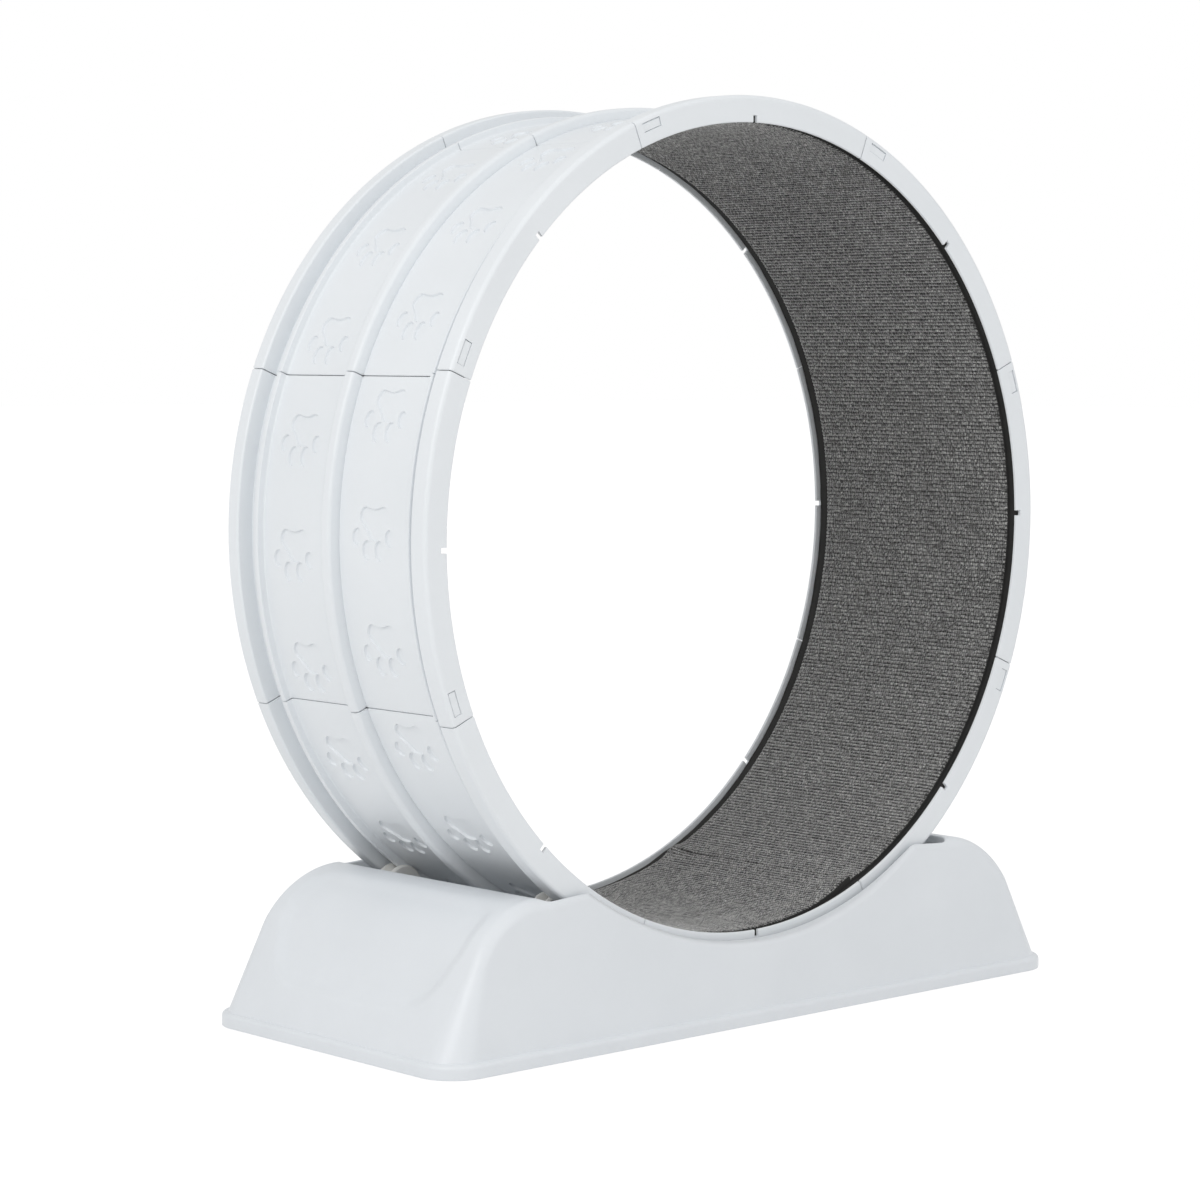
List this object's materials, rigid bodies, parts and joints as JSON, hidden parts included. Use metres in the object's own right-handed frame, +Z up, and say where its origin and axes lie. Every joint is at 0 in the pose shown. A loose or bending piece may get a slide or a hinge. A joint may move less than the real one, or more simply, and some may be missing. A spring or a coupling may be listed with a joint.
{
  "type": "cat exercise wheel",
  "caption": "Carpet-lined running wheel of clipped arc segments, turning on grooved rollers inside a moulded, flat-bottomed base.",
  "frame": {"origin": "middle of the feet's resting plane, straight below the wheel's axis", "axes": "+X along the base towards its right end, +Y along the wheel's axis towards the rear, +Z up"},
  "size_m": [0.79, 0.34, 0.84],
  "materials": {
    "shell_plastic": "satin",
    "wheel_plastic": "satin",
    "roller_plastic": "satin",
    "bracket_plastic": "satin",
    "steel": "turned",
    "rubber": "matte",
    "foam": "matte closed-cell foam",
    "carpet": "ribbed loop pile"
  },
  "bodies": {
    "base": {"base_shell": "shell_plastic", "rubber_feet": "rubber", "roller_brackets": "bracket_plastic", "roller_axles": "steel", "axle_clips": "steel", "bracket_screws": "steel", "bearing_spacers": "bracket_plastic"},
    "wheel": {"wheel_segment_1": "wheel_plastic", "wheel_segment_2": "wheel_plastic", "wheel_segment_3": "wheel_plastic", "wheel_segment_4": "wheel_plastic", "wheel_segment_5": "wheel_plastic", "wheel_segment_6": "wheel_plastic", "wheel_segment_7": "wheel_plastic", "wheel_segment_8": "wheel_plastic", "foam_mat": "foam", "carpet_runner": "carpet"},
    "roller_unit_front_left": {"roller_front_left": "roller_plastic", "bearing_front_left": "steel"},
    "roller_unit_front_right": {"roller_front_right": "roller_plastic", "bearing_front_right": "steel"},
    "roller_unit_rear_left": {"roller_rear_left": "roller_plastic", "bearing_rear_left": "steel"},
    "roller_unit_rear_right": {"roller_rear_right": "roller_plastic", "bearing_rear_right": "steel"}
  },
  "joints": [
    {"name": "wheel_spin", "type": "hinge", "parent": "base", "child": "wheel", "pos_m": [0, 0, 0.4477], "axis": [0, 1, 0], "continuous": true},
    {"name": "roller_spin_front_left", "type": "hinge", "parent": "base", "child": "roller_unit_front_left", "pos_m": [-0.2218, -0.10635, 0.11386], "axis": [0, 1, 0], "continuous": true},
    {"name": "roller_spin_front_right", "type": "hinge", "parent": "base", "child": "roller_unit_front_right", "pos_m": [0.2218, -0.10635, 0.11386], "axis": [0, 1, 0], "continuous": true},
    {"name": "roller_spin_rear_left", "type": "hinge", "parent": "base", "child": "roller_unit_rear_left", "pos_m": [-0.2218, 0.10635, 0.11386], "axis": [0, 1, 0], "continuous": true},
    {"name": "roller_spin_rear_right", "type": "hinge", "parent": "base", "child": "roller_unit_rear_right", "pos_m": [0.2218, 0.10635, 0.11386], "axis": [0, 1, 0], "continuous": true}
  ],
  "couplings": [
    {"joint": "roller_spin_front_left", "follows": "wheel_spin", "ratio": -24.839},
    {"joint": "roller_spin_front_right", "follows": "wheel_spin", "ratio": -24.839},
    {"joint": "roller_spin_rear_left", "follows": "wheel_spin", "ratio": -24.839},
    {"joint": "roller_spin_rear_right", "follows": "wheel_spin", "ratio": -24.839}
  ]
}
